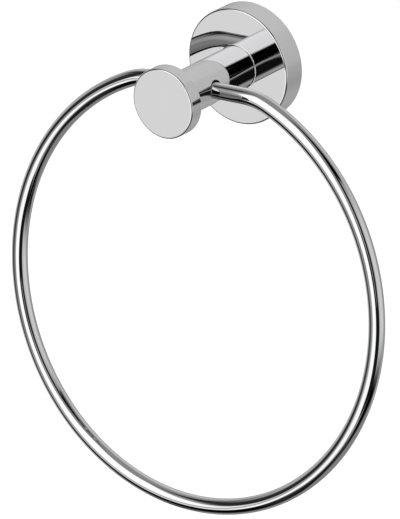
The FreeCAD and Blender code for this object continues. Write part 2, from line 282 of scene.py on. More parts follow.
def carved_side(columns: Array, rows: Array, radius: Callable[[Array, Array], Array]) -> Skin:
    """A turned side whose radius varies with angle and depth, such as a thread or a knurl.

    Its normals are the cross product of the slopes round and along, taken across the closing seam.
    """
    turn, depth = np.meshgrid(columns, rows, indexing="ij")
    points = around_axis(radius(turn, depth), depth, turn)
    closed = points[:-1]
    around = np.roll(closed, -1, axis=0) - np.roll(closed, 1, axis=0)
    normals = np.cross(around, np.gradient(closed, axis=1))
    normals /= np.linalg.norm(normals, axis=-1, keepdims=True)
    return Skin(points, np.concatenate([normals, normals[:1]]))


def face_grid(rows: int, columns: int) -> Array:
    """Corner numbers of the four-sided faces of a grid."""
    corner = np.arange(rows * columns).reshape(rows, columns)
    return np.stack(
        [corner[:-1, :-1], corner[1:, :-1], corner[1:, 1:], corner[:-1, 1:]], axis=-1
    ).reshape(-1, 4)


def flat_normals(points: Array, faces: Array) -> Array:
    """Gives each face's own normal, from the cross product of its diagonals."""
    corners = points[faces]
    normal = np.cross(corners[:, 2] - corners[:, 0], corners[:, 3] - corners[:, 1])
    length = np.linalg.norm(normal, axis=1, keepdims=True)
    return normal / np.maximum(length, TINY)


def welded(points: Array) -> Pair:
    """Merges points that lie in one cell of a fine grid.

    Gives the merged points, and the new number of each old one.
    """
    cells = np.floor(points / WELD_GRID + WELD_OFFSET / WELD_GRID).astype(np.int64)
    _, kept, number = np.unique(cells, axis=0, return_index=True, return_inverse=True)
    return points[kept], number.reshape(-1)


def skin_mesh(name: str, skins: Sequence[Skin]) -> bpy.types.Mesh:
    """Makes one closed mesh, in metres, of patches in millimetres that share their edges.

    Faces are turned to agree with the patch's normals, points in one place are merged, and a face
    whose side shrinks to a point becomes a triangle. The patches' own normals go to its corners.
    """
    points, faces, normals = [], [], []
    offset = 0
    for skin in skins:
        flat = skin.points.reshape(-1, 3)
        grid = face_grid(*skin.points.shape[:2])
        own = flat_normals(flat, grid)
        corner_normals = skin.normals.reshape(-1, 3)[grid]
        turned = np.einsum("ij,ij->i", own, corner_normals.sum(axis=1)) < 0
        grid[turned] = grid[turned][:, ::-1]
        corner_normals[turned] = corner_normals[turned][:, ::-1]
        own[turned] *= -1
        points.append(flat)
        faces.append(grid + offset)
        normals.append(np.repeat(own[:, None, :], 4, axis=1) if skin.flat else corner_normals)
        offset += len(flat)
    merged, number = welded(np.concatenate(points))
    quads = number[np.concatenate(faces)]
    keep = quads != np.roll(quads, -1, axis=1)
    keep[keep.sum(axis=1) < 3] = False
    sides = keep.sum(axis=1)
    sides = sides[sides > 0]
    corners = quads[keep]
    mesh = bpy.data.meshes.new(name)
    mesh.vertices.add(len(merged))
    mesh.vertices.foreach_set("co", (merged * MM).ravel())
    mesh.loops.add(len(corners))
    mesh.loops.foreach_set("vertex_index", corners.astype(np.int32))
    mesh.polygons.add(len(sides))
    mesh.polygons.foreach_set("loop_start", np.concatenate([[0], np.cumsum(sides)[:-1]]).astype(np.int32))
    mesh.update(calc_edges=True)
    mesh.polygons.foreach_set("use_smooth", np.ones(len(sides), bool))
    mesh.normals_split_custom_set(np.concatenate(normals)[keep].tolist())
    return mesh


class Slot(Enum):
    """Material slots of the record."""

    CHROME = "polished_chrome"
    ZINC = "zinc_plated_steel"
    SCREW = "screw_steel"


def linear(hex_colour: str) -> Tuple[float, float, float, float]:
    """Turns an sRGB hex colour into the linear values that shaders take."""
    channels = [int(hex_colour[place:place + 2], 16) / 255 for place in (1, 3, 5)]
    values = [c / 12.92 if c <= 0.04045 else ((c + 0.055) / 1.055) ** 2.4 for c in channels]
    return values[0], values[1], values[2], 1.0


def cleared_tree(owner: Union[bpy.types.Material, bpy.types.World]) -> Tree:
    """Turns on a material's or world's nodes, and empties them."""
    owner.use_nodes = True
    owner.node_tree.nodes.clear()
    return owner.node_tree


def add_node(
    tree: Tree, kind: str, inputs: Optional[Dict[Any, Any]] = None, **settings: Any
) -> bpy.types.Node:
    """Adds a node with its settings.

    Args:
        tree: The node tree.
        kind: The node's type name.
        inputs: A value or another node's socket for each input, by its name or number.
        settings: Attributes of the node.
    """
    node = tree.nodes.new(kind)
    for name, value in settings.items():
        setattr(node, name, value)
    for place, value in (inputs or {}).items():
        if isinstance(value, Socket):
            tree.links.new(value, node.inputs[place])
        else:
            node.inputs[place].default_value = value
    return node


def math_node(tree: Tree, operation: str, *terms: Union[float, Socket]) -> Socket:
    """Adds a math node whose terms are numbers or sockets, and gives its result."""
    return add_node(tree, "ShaderNodeMath", dict(enumerate(terms)), operation=operation).outputs[0]


@dataclass(frozen=True)
class MetalFinish:
    """A bare or plated metal surface.

    grain_mm is the size of the marks that vary the gloss, and lift_mm the depth of its unevenness.
    The gloss goes from one end to the other between two levels of the marks' noise.
    """

    name: str
    colour: str
    dark_colour: str
    roughness: float
    roughness_spread: float
    grain_mm: float
    lift_mm: float
    stretch: Tuple[float, float, float] = (1.0, 1.0, 1.0)
    noise_octaves: float = 4.0
    noise_roughness: float = 0.6
    low_level: float = 0.35
    high_level: float = 0.75

    def material(self) -> bpy.types.Material:
        """Builds the material: noise at the grain's size shifts its colour, roughness and bump."""
        made = bpy.data.materials.new(self.name)
        tree = cleared_tree(made)
        place = add_node(tree, "ShaderNodeTexCoord").outputs["Object"]
        mapped = add_node(tree, "ShaderNodeMapping", {"Scale": self.stretch, "Vector": place})
        marks = add_node(tree, "ShaderNodeTexNoise", {
            "Scale": 1 / (self.grain_mm * MM), "Detail": self.noise_octaves,
            "Roughness": self.noise_roughness, "Vector": mapped.outputs["Vector"],
        }).outputs["Fac"]
        gloss = add_node(tree, "ShaderNodeMapRange", {
            "Value": marks, "From Min": self.low_level, "From Max": self.high_level,
            "To Min": self.roughness, "To Max": self.roughness + self.roughness_spread,
        })
        tint = add_node(tree, "ShaderNodeMix", {
            0: marks, 6: linear(self.colour), 7: linear(self.dark_colour),
        }, data_type="RGBA")
        bump = add_node(tree, "ShaderNodeBump", {
            "Strength": 1.0, "Distance": self.lift_mm * MM, "Height": marks,
        })
        shader = add_node(tree, "ShaderNodeBsdfPrincipled", {
            "Metallic": 1.0, "Base Color": tint.outputs[2], "Roughness": gloss.outputs["Result"],
            "Normal": bump.outputs["Normal"],
        })
        add_node(tree, "ShaderNodeOutputMaterial", {"Surface": shader.outputs["BSDF"]})
        return made


FINISHES = {
    # Bright chrome plate over buffed brass: a mirror, with faint cloudy marks about a centimetre across
    Slot.CHROME: MetalFinish(
        name="buffed_chrome_plate", colour="#D6D6D7", dark_colour="#D4D4D5", roughness=0.008,
        roughness_spread=0.01, grain_mm=9.0, lift_mm=0.0,
    ),
    # Zinc plate on stamped steel: pale grey with a soft, uneven gloss and fine spangle
    Slot.ZINC: MetalFinish(
        name="zinc_plate_on_steel", colour="#B9BEC4", dark_colour="#8F959C", roughness=0.28,
        roughness_spread=0.2, grain_mm=1.6, lift_mm=0.02,
    ),
    # Cold headed stainless screws: darker, with lines that run along the thread
    Slot.SCREW: MetalFinish(
        name="cold_headed_steel", colour="#A9A8A5", dark_colour="#6F6E6C", roughness=0.22,
        roughness_spread=0.25, grain_mm=0.5, stretch=(1.0, 3.0, 1.0), lift_mm=0.01,
    ),
}


@dataclass
class Piece:
    """A dressed piece that takes the place of one CAD node."""

    node: str
    slot: Slot
    finish: bpy.types.Material

    def show(self, skins: Sequence[Skin]) -> bpy.types.Object:
        """Makes the piece's object from its patches, and ties it to the frame."""
        name = self.node + "_look"
        mesh = skin_mesh(name, skins)
        mesh.materials.append(self.finish)
        piece = bpy.data.objects.new(name, mesh)
        bpy.context.scene.collection.objects.link(piece)
        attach(piece, "root")
        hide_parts(self.node)
        log.info("%s: %d faces, stands for %s", name, len(mesh.polygons), self.node)
        return piece


@dataclass(frozen=True)
class RoundHole:
    """A round hole bored towards the axis of a cylinder wall, at one angle and depth."""

    angle: float
    depth: float
    radius: float

    def edge_on(self, wall_radius: float, turn: Array) -> Pair:
        """The hole's edge on a wall as angle and depth: a side step is the wall's radius times a sine."""
        side_step = np.arcsin(self.radius * np.cos(turn) / wall_radius)
        return self.angle + side_step, self.depth + self.radius * np.sin(turn)


@dataclass
class FlangeCover:
    """The round cup against the wall, keyed for the post, with a tapped hole in its underside."""

    radius: float = 26.2
    depth: float = 11.4
    edge_round: float = 0.8
    side_wall: float = 3.1
    front_wall: float = 2.6
    inner_round: float = 0.8
    hole_radius: float = 5.1
    hole_flat: float = 4.3
    rim_hole: RoundHole = RoundHole(angle=-QUARTER_TURN, depth=3.2, radius=2.55)
    window_half: float = 3.1
    steps_round: int = 260

    def window(self) -> Window:
        """The window round the hole in the rim, as angle and depth."""
        half = (self.window_half / self.radius, self.window_half)
        return Window((self.rim_hole.angle, self.rim_hole.depth), half)

    def side(self, columns: Array, radius: float, end: float, steps: int, facing: float) -> List[Skin]:
        """One side of the wall, from the rim past the window round the tapped hole to where it ends."""
        window = self.window()
        hole = self.rim_hole.edge_on(radius, window.turns())
        place = cylinder_place(radius, facing)
        return Panel(columns, (0, end), place, (window,), (hole,), row_steps=(1, steps)).skins()

    def skins(self) -> List[Skin]:
        """Profile from the keyed hole over the front and the rim to the inside."""
        columns = round_columns([self.window()], self.steps_round)
        shoulder = self.radius - self.edge_round
        edge_depth = self.depth - self.edge_round
        inner_radius = self.radius - self.side_wall
        inner_depth = self.depth - self.front_wall
        corner = (inner_radius - self.inner_round, inner_depth - self.inner_round)
        key = keyed_radius(self.hole_radius, self.hole_flat)
        return [
            keyed_face(key, shoulder, self.depth, TO_ROOM, columns, steps=10),
            lathe_arc((shoulder, edge_depth), self.edge_round, 90, 0, columns, steps=20),
            *self.side(columns, self.radius, edge_depth, steps=6, facing=OUTWARD),
            *lathe_lines([(inner_radius, 0), (self.radius, 0)], columns),
            *self.side(columns, inner_radius, corner[1], steps=3, facing=INWARD),
            lathe_arc(corner, -self.inner_round, 0, 90, columns, steps=8),
            keyed_face(key, corner[0], inner_depth, TO_WALL, columns, steps=6),
            keyed_wall(key, self.depth, inner_depth, columns, facing=INWARD),
            self.hole_wall(),
        ]

    def hole_wall(self) -> Skin:
        """The tapped hole's wall: a circle pushed down to the inner and to the outer cylinder."""
        turn = self.window().turns()
        side = self.rim_hole.radius * np.cos(turn)
        depth = self.rim_hole.depth + self.rim_hole.radius * np.sin(turn)
        walls = np.array([self.radius - self.side_wall, self.radius])[:, None]
        drop = -np.sqrt(walls ** 2 - side ** 2)
        return Skin(stacked(side, -depth, drop), stacked(-np.cos(turn), np.sin(turn), 0 * drop))


@dataclass
class Post:
    """The turned post with its button head, foot, keyed spigot, cross bore and tapped hole."""

    radius: float = 9.7
    reach: float = 65.4
    flange_depth: float = 11.4
    foot_cove: float = 0.4
    foot_lip: float = 0.2
    foot_land: float = 0.2
    button_radius: float = 15.6
    button_thickness: float = 7.2
    button_round: float = 0.7
    spigot_radius: float = 5.0
    spigot_length: float = 2.0
    spigot_flat: float = 4.2
    bore_radius: float = 4.0
    bore_depth: float = 39.65
    rim_round: float = 0.35
    tapped_radius: float = 3.05
    tapped_shy: float = 0.5
    window_half: Spot = (0.68, 5.6)
    mouth_steps: int = 32
    side_steps: int = 60

    def side(self, columns: Array, start: float, end: float, windows: Tuple[Window, ...]) -> List[Skin]:
        """The post's side between two depths, up to where it meets the rims of the bore's two mouths."""
        _, depth, height = self.ball_centre(windows[0].turns())
        side_step = np.arcsin(height / (self.radius - self.rim_round))
        holes = tuple((window.middle[0] + side_step, depth) for window in windows)
        place = cylinder_place(self.radius, OUTWARD)
        return Panel(
            columns, (start, end), place, windows, holes, row_steps=(12, 10), rings=16, crowding=1.8
        ).skins()

    def skins(self) -> List[Skin]:
        """Profile from the spigot over the foot and the side to the button's front, and the bores."""
        windows = tuple(
            Window((angle, self.bore_depth), self.window_half, self.mouth_steps) for angle in (0.0, math.pi)
        )
        columns = round_columns(windows, self.side_steps)
        turn = windows[0].turns()
        key = keyed_radius(self.spigot_radius, self.spigot_flat)
        foot_radius = self.radius + self.foot_cove + self.foot_lip
        foot_end = self.flange_depth + self.foot_land
        cove = (self.radius + self.foot_cove, foot_end + self.foot_cove)
        spigot_end = self.flange_depth - self.spigot_length
        back = self.reach - self.button_thickness
        shoulder = self.button_radius - self.button_round
        back_edge, front_edge = back + self.button_round, self.reach - self.button_round
        tapped_end = self.bore_depth - self.bore_radius - self.tapped_shy
        tapped = [(0, tapped_end), (self.tapped_radius, tapped_end), (self.tapped_radius, spigot_end)]
        foot = [(foot_radius, self.flange_depth), (foot_radius, foot_end), (cove[0], foot_end)]
        button = [(self.button_radius, back_edge), (self.button_radius, front_edge)]
        return [
            *lathe_lines(tapped, columns),
            keyed_face(key, self.tapped_radius, spigot_end, TO_WALL, columns, steps=2),
            keyed_wall(key, spigot_end, self.flange_depth, columns, facing=OUTWARD),
            keyed_face(key, foot_radius, self.flange_depth, TO_WALL, columns, steps=2),
            *lathe_lines(foot, columns),
            lathe_arc(cove, -self.foot_cove, 270, 180, columns, steps=20),
            *self.side(columns, cove[1], back, windows),
            *lathe_lines([(self.radius, back), (shoulder, back)], columns, steps=3),
            lathe_arc((shoulder, back_edge), self.button_round, -90, 0, columns, steps=16),
            *lathe_lines(button, columns, steps=4),
            lathe_arc((shoulder, front_edge), self.button_round, 0, 90, columns, steps=16),
            *lathe_lines([(shoulder, self.reach), (0, self.reach)], columns, steps=8),
            self.bore_rim(turn, 1.0),
            self.bore_rim(turn, -1.0),
            self.bore_wall(turn),
        ]

    def ball_centre(self, turn: Array) -> Tuple[Array, Array, Array]:
        """Side step, depth and height of a ball that rolls round the bore's mouth inside the metal.

        It touches both walls: its centre lies at the post's radius less its own from the one axis,
        and at the bore's radius plus its own from the other.
        """
        orbit = self.bore_radius + self.rim_round
        height = orbit * np.cos(turn)
        side = np.sqrt((self.radius - self.rim_round) ** 2 - height ** 2)
        return side, self.bore_depth + orbit * np.sin(turn), height

    def bore_rim(self, turn: Array, way: float) -> Skin:
        """A rounded rim: the arc on the rolling ball from where it touches the post to the bore."""
        side, depth, height = self.ball_centre(turn)
        reach = self.radius - self.rim_round
        to_post = stacked(side / reach, 0 * side, height / reach)
        to_bore = stacked(0 * side, np.sin(turn), -np.cos(turn))
        opening = np.arccos(np.einsum("ij,ij->i", to_post, to_bore))[None, :, None]
        share = even(0, 1, steps=8)[:, None, None]
        blend = np.sin((1 - share) * opening) * to_post + np.sin(share * opening) * to_bore
        normals = blend / np.sin(opening)
        points = stacked(side, -depth, height) + self.rim_round * normals
        return Skin(points, normals).moved((way, 1.0, way))

    def bore_wall(self, turn: Array) -> Skin:
        """The cross bore's wall: a circle carried from the one rim to the other."""
        turn, share = np.meshgrid(turn, even(-1, 1, steps=16), indexing="ij")
        side, _, _ = self.ball_centre(turn)
        depth = self.bore_depth + self.bore_radius * np.sin(turn)
        height = self.bore_radius * np.cos(turn)
        return Skin(stacked(share * side, -depth, height), stacked(0 * side, np.sin(turn), -np.cos(turn)))


@dataclass
class TowelRing:
    """A hoop of round wire with a flattened top, whose two ends meet inside the post."""

    wire_radius: float = 3.6
    end_chamfer: float = 0.4
    ring_radius: float = 96.0
    flat_drop: float = 4.8
    bend_radius: float = 32.0
    lean: float = math.radians(6.9)
    end_gap: float = 0.3
    line_depth: float = 39.9791
    line_drop: float = 0.19
    steps_round: int = 96
    step_mm: float = 1.1

    def stretches(self) -> Tuple[float, float, float]:
        """Lengths of half the straight run and of the bend, and the angle at which the bend ends.

        The bend touches the big circle, so the two circles' centres and the straight run's middle line
        make a right triangle with the run as one side.
        """
        rise = self.ring_radius - self.flat_drop - self.bend_radius
        reach = self.ring_radius - self.bend_radius
        straight = math.sqrt(reach ** 2 - rise ** 2)
        turn_end = math.atan2(rise, straight)
        return straight, self.bend_radius * (QUARTER_TURN - turn_end), turn_end

    def path(self, along: Array) -> Tuple[Array, Array, Array]:
        """Half of the hoop by its length: a straight run, a bend, then the big circle to its lowest point.

        Gives the place across and up in the ring's plane, and the angle of the wire's outward side, at
        distances from the middle of the straight run.
        """
        straight, bend, turn_end = self.stretches()
        height = self.ring_radius - self.flat_drop
        in_bend = QUARTER_TURN - (along - straight) / self.bend_radius
        in_circle = turn_end - (along - straight - bend) / self.ring_radius
        where = [along < straight, along < straight + bend]
        outward = np.select(where, [QUARTER_TURN + 0 * along, in_bend], in_circle)
        bend_across = straight + self.bend_radius * np.cos(in_bend)
        bend_up = self.bend_radius * np.sin(in_bend) - self.bend_radius
        across = np.select(where, [along, bend_across], self.ring_radius * np.cos(in_circle))
        up = np.select(where, [0 * along, bend_up], self.ring_radius * np.sin(in_circle) - height)
        return across, up, outward

    def tube(self, along: Array, radius: Array, way: float, tilt: float = 0.0) -> Skin:
        """The wire's surface on one side: the path's point plus the wire's radius, swung round the path.

        Each distance along the path has a radius. A way of 1 is the right half and -1 the left, and
        the tilt is the angle by which the surface faces back along the path.
        """
        across, up, outward = (values[:, None] for values in self.path(along))
        swing = even(0, FULL_TURN, self.steps_round)
        in_plane, off_plane = np.cos(swing), np.sin(swing)
        radius = radius[:, None]
        points = self.leaned(
            way * (across + radius * in_plane * np.cos(outward)),
            up + radius * in_plane * np.sin(outward), radius * off_plane,
        )
        plain, back = math.cos(tilt), math.sin(tilt)
        normals = self.leaned(
            way * (plain * in_plane * np.cos(outward) - back * np.sin(outward)),
            plain * in_plane * np.sin(outward) + back * np.cos(outward), plain * off_plane,
        )
        return Skin(points - np.array([0.0, self.line_depth, self.line_drop]), normals)

    def leaned(self, across: Array, up: Array, aside: Array) -> Array:
        """Tips the ring's plane so that its bottom stands away from the wall."""
        cos_lean, sin_lean = math.cos(self.lean), math.sin(self.lean)
        return stacked(across, up * sin_lean + aside * cos_lean, up * cos_lean - aside * sin_lean)

    def skins(self) -> List[Skin]:
        """Two halves, each with its chamfered end inside the post."""
        straight, bend, turn_end = self.stretches()
        full = straight + bend + self.ring_radius * (turn_end + QUARTER_TURN)
        end, plain = self.end_gap / 2, self.end_gap / 2 + self.end_chamfer
        small, wide = self.wire_radius - self.end_chamfer, self.wire_radius
        along = np.linspace(plain, full, int(full / self.step_mm))
        found = []
        for way in (1.0, -1.0):
            found += [
                self.tube(np.array([end, end]), np.array([0.0, small]), way, QUARTER_TURN),
                self.tube(np.array([end, plain]), np.array([small, wide]), way, QUARTER_TURN / 2),
                self.tube(along, np.full(len(along), wide), way),
            ]
        return found


@dataclass
class WallPlate:
    """The disc on the wall: an undercut edge for the grub screw, and two slots for the wall screws."""

    thickness: float = 5.0
    radius: float = 22.5
    wall_radius: float = 20.0
    edge_land: float = 0.4
    hole_radius: float = 7.5
    slot_middle: float = 13.75
    slot_half_run: float = 1.1
    slot_radius: float = 2.4
    burr_break: float = 0.2
    window_half: Spot = (0.34, 4.4)
    side_steps: int = 60

    def slot(self, turn: Array, grow: float, base: float = 0.0) -> Pair:
        """A slot's edge as angle and radius: a circle pushed apart along the radius."""
        out = self.slot_middle + self.slot_half_run * np.sign(np.sin(turn))
        out = out + (self.slot_radius + grow) * np.sin(turn)
        side = (self.slot_radius + grow) * np.cos(turn)
        return base + np.arctan2(side, out), np.hypot(side, out)

    def windows(self) -> Tuple[Window, ...]:
        """Windows round the two slots, as angle and radius."""
        return tuple(Window((angle, self.slot_middle), self.window_half) for angle in (0.0, math.pi))

    def face(self, depth: float, outer: float, facing: float, columns: Array) -> List[Skin]:
        """One flat side with its two slots."""
        windows = self.windows()
        holes = tuple(self.slot(window.turns(), self.burr_break, window.middle[0]) for window in windows)
        span = (self.hole_radius + self.burr_break, outer)
        return Panel(columns, span, flat_place(depth, facing), windows, holes, row_steps=(2, 3)).skins()

    def slot_band(self, near: Spot, far: Spot) -> List[Skin]:
        """A band round both slots between two depths, each with how far the slot has grown there."""
        turn = self.windows()[0].turns()
        rims = []
        for depth, grow in (near, far):
            angle, radius = self.slot(turn, grow)
            rims.append(around_axis(radius, depth, angle))
        points = np.stack(rims, axis=1)
        slope = np.sign(far[1] - near[1]) * math.sqrt(0.5)
        level = math.sqrt(1 - slope ** 2)
        facing = stacked(-level * np.sin(turn), -slope, -level * np.cos(turn))
        band = Skin(points, np.repeat(facing[:, None], len(rims), axis=1))
        return [band, band.moved((-1.0, 1.0, -1.0))]

    def skins(self) -> List[Skin]:
        """Both flat sides, the undercut edge, the middle hole and the slots, each edge a little broken."""
        columns = round_columns(self.windows(), self.side_steps)
        broken, top = self.burr_break, self.thickness
        profile = [
            (self.wall_radius, 0), (self.radius, top - self.edge_land), (self.radius, top - broken),
            (self.radius - broken, top),
        ]
        hole = [
            (self.hole_radius + broken, top), (self.hole_radius, top - broken), (self.hole_radius, broken),
            (self.hole_radius + broken, 0),
        ]
        bands = [(0, broken), (broken, 0), (top - broken, 0), (top, broken)]
        return [
            *self.face(0, self.wall_radius, TO_WALL, columns),
            *self.face(top, self.radius - broken, TO_ROOM, columns),
            *lathe_lines(profile, columns),
            *lathe_lines(hole, columns),
            *(skin for ends in zip(bands, bands[1:]) for skin in self.slot_band(*ends)),
        ]


@dataclass(frozen=True)
class Thread:
    """A right-handed V thread: the radius drops from the crest by a triangle wave of depth less turn."""

    crest: float
    pitch: float
    start: float
    end: float
    steepness: float = 0.61
    crest_share: float = 0.125
    steps: int = 8

    def radius(self, turn: Array, depth: Array) -> Array:
        """The thread's radius, which runs out to the crest within a pitch of each end."""
        phase = (depth / self.pitch - turn / FULL_TURN) % 1
        groove = (1 - np.abs(2 * phase - 1)) * (1 + 2 * self.crest_share) - self.crest_share
        run_out = np.minimum(depth - self.start, self.end - depth) / self.pitch
        return self.crest - self.steepness * self.pitch * np.clip(groove, 0, 1) * np.clip(run_out, 0, 1)

    def skin(self, columns: Array) -> Skin:
        """The threaded side."""
        turns = (self.end - self.start) / self.pitch
        rows = even(self.start, self.end, int(turns * self.steps))
        return carved_side(columns, rows, self.radius)


@dataclass(frozen=True)
class HexSocket:
    """A hexagon socket that opens towards the wall, with a corner at 30 degrees and every 60 from there."""

    across_flats: float
    mouth: float
    depth: float

    def edge(self, turn: Array) -> Array:
        """The hexagon's radius: half its width over the cosine from the nearest flat's middle."""
        off = (turn + math.pi / 6) % (math.pi / 3) - math.pi / 6
        return self.across_flats / 2 / np.cos(off)

    def skins(self, rim: float, columns: Array) -> List[Skin]:
        """The face round the socket out to a rim, the socket's six walls and its floor."""
        floor = self.mouth + self.depth
        return [
            keyed_face(self.edge, rim, self.mouth, TO_WALL, columns, steps=3),
            keyed_wall(self.edge, self.mouth, floor, columns, facing=INWARD),
            keyed_face(self.edge, 0.0, floor, TO_WALL, columns, steps=2),
        ]


def hexagon_columns(steps: int) -> Array:
    """Angles of a whole turn that meet each corner of a socket, with a number of steps to a side."""
    return math.pi / 6 + even(0, FULL_TURN, 6 * steps)


@dataclass
class CapScrew:
    """The screw that pulls the post onto the flange: a knurled head with a socket, and a threaded shank."""

    top: float = 3.16
    seat: float = 7.16
    end: float = 23.16
    head_radius: float = 5.0
    thread_radius: float = 3.0
    chamfer: float = 0.5
    key: float = 4.0
    key_depth: float = 2.3
    pitch: float = 1.0
    ridges: int = 40
    ridge_height: float = 0.14

    def knurl(self, turn: Array, depth: Array) -> Array:
        """The head's radius: a cosine round it, which fades at both ends."""
        start, end = self.top + self.chamfer, self.seat
        fade = np.clip(np.minimum(depth - start, end - depth) / self.chamfer, 0, 1)
        return self.head_radius - self.ridge_height * fade * (0.5 + 0.5 * np.cos(self.ridges * turn))

    def skins(self) -> List[Skin]:
        """Profile from the socket over the head and down the shank."""
        columns = hexagon_columns(steps=40)
        rim = self.head_radius - self.chamfer
        shoulder = self.top + self.chamfer
        thread_end = self.end - self.chamfer
        rows = joined(
            even(shoulder, shoulder + self.chamfer, steps=3),
            np.array([shoulder + self.chamfer, self.seat - self.chamfer]),
            even(self.seat - self.chamfer, self.seat, steps=3),
        )
        tip_radius = self.thread_radius - self.chamfer
        tip = [(self.thread_radius, thread_end), (tip_radius, self.end), (0, self.end)]
        return [
            *HexSocket(self.key, self.top, self.key_depth).skins(rim, columns),
            *lathe_lines([(rim, self.top), (self.head_radius, shoulder)], columns),
            carved_side(columns, rows, self.knurl),
            *lathe_lines([(self.head_radius, self.seat), (self.thread_radius, self.seat)], columns),
            Thread(self.thread_radius, self.pitch, self.seat, thread_end).skin(columns),
            *lathe_lines(tip, columns),
        ]


@dataclass
class SetScrew:
    """A headless screw with a socket in its back and a flat point."""

    back: float
    length: float
    radius: float
    point_radius: float
    key: float
    key_depth: float
    pitch: float
    chamfer: float = 0.5

    def skins(self) -> List[Skin]:
        """Profile from the socket along the thread to the point."""
        columns = hexagon_columns(steps=16)
        rim = self.radius - self.chamfer
        start = self.back + self.chamfer
        tip = self.back + self.length
        shoulder = tip - (self.radius - self.point_radius)
        return [
            *HexSocket(self.key, self.back, self.key_depth).skins(rim, columns),
            *lathe_lines([(rim, self.back), (self.radius, start)], columns),
            Thread(self.radius, self.pitch, start, shoulder).skin(columns),
            *lathe_lines([(self.radius, shoulder), (self.point_radius, tip), (0, tip)], columns),
        ]

    def stood_up(self, depth: float, base: float) -> List[Skin]:
        """The same screw with its point upwards, at a depth and above a height."""
        swap = (0, 2, 1)
        lying = self.skins()
        turned = [Skin(skin.points[..., swap], skin.normals[..., swap], skin.flat) for skin in lying]
        return [skin.moved((1.0, 1.0, -1.0), (0.0, -depth, base)) for skin in turned]


@dataclass
class LockWasher:
    """The spring washer, pressed flat, with a slanting split on its left side."""

    inner: float = 3.05
    outer: float = 5.9
    back: float = 7.18
    front: float = 8.78
    split: float = 1.2
    edge_round: float = 0.15
    steps_round: int = 120

    def middle(self) -> Spot:
        """Radius and depth of the section's middle."""
        return (self.inner + self.outer) / 2, (self.back + self.front) / 2

    def section(self) -> Tuple[Array, Array, Array]:
        """A rectangle with round corners, as radius, depth and the angle that each point faces."""
        quarter = np.arange(4)[:, None]
        facing = (quarter + even(0, 1, steps=5)) * QUARTER_TURN
        corner = (quarter + 0.5) * QUARTER_TURN
        half_width = (self.outer - self.inner) / 2 - self.edge_round
        half_height = (self.front - self.back) / 2 - self.edge_round
        radius, depth = self.middle()
        radius = radius + half_width * np.sign(np.cos(corner)) + self.edge_round * np.cos(facing)
        depth = depth + half_height * np.sign(np.sin(corner)) + self.edge_round * np.sin(facing)
        return tuple(np.append(values, values[0, 0]) for values in (radius, depth, facing))

    def slope(self) -> float:
        """How far the split climbs for each millimetre of depth."""
        return self.split / (self.front - self.back + 2 * self.split)

    def ends(self, radius: Array, depth: Array) -> Pair:
        """Angles where the washer starts below the split, and where it ends above it."""
        low = self.slope() * (depth - self.back + self.split) - self.split
        return math.pi - np.arcsin(low / radius), 3 * math.pi - np.arcsin((low + self.split) / radius)

    def skins(self) -> List[Skin]:
        """The section carried round from one end to the other, and the two end faces."""
        radius, depth, facing = self.section()
        start, end = self.ends(radius, depth)
        share = even(0, 1, self.steps_round)[:, None]
        turn = start + share * (end - start)
        found = [Skin(around_axis(radius, depth, turn), around_axis(np.cos(facing), np.sin(facing), turn))]
        spread = even(0, 1, steps=3)[:, None]
        radius, depth = (
            middle + spread * (edge - middle) for middle, edge in zip(self.middle(), (radius, depth))
        )
        upward = np.array([0.0, self.slope(), 1.0]) / math.hypot(1.0, self.slope())
        for turn, normal in zip(self.ends(radius, depth), (upward, -upward)):
            found.append(Skin(around_axis(radius, depth, turn), normal + 0 * turn[..., None]))
        return found


@dataclass(frozen=True)
class ViewFrame:
    """The camera: where it looks from and how the picture sits in its frame."""

    azimuth: float = math.radians(37.47)
    elevation: float = math.radians(21.60)
    roll: float = math.radians(-3.0)
    distance: float = 1940.57
    target_right: float = 22.80
    target_up: float = 86.84
    focal_px: float = 4475.12
    picture_height: float = 519.0
    sensor_mm: float = 36.0
    clip_end_m: float = 20.0

    def camera(self) -> bpy.types.Object:
        """Makes the camera: turned, then back from the target along the view and shifted across it."""
        turn = (
            Matrix.Rotation(self.azimuth, 4, "Z") @ Matrix.Rotation(QUARTER_TURN - self.elevation, 4, "X")
            @ Matrix.Rotation(self.roll, 4, "Z")
        )
        shift = Vector((-self.target_right, -self.target_up, self.distance)) * MM
        data = bpy.data.cameras.new("view")
        data.sensor_fit = "VERTICAL"
        data.sensor_height = self.sensor_mm
        data.lens = self.focal_px / self.picture_height * self.sensor_mm
        data.clip_end = self.clip_end_m
        view = bpy.data.objects.new("view", data)
        bpy.context.scene.collection.objects.link(view)
        view.matrix_world = turn @ Matrix.Translation(shift)
        bpy.context.scene.camera = view
        return view


@dataclass(frozen=True)
class Card:
    """A soft box or a black flag of the studio, as the object sees it.

    Angles are in degrees: azimuth 0 is towards the wall, 90 to the right and 180 into the room.
    A lean is how far the card climbs for each degree to its right.
    """

    azimuth: float
    elevation: float
    half_width: float
    half_height: float
    level: float
    softness: float
    lean: float = 0.0


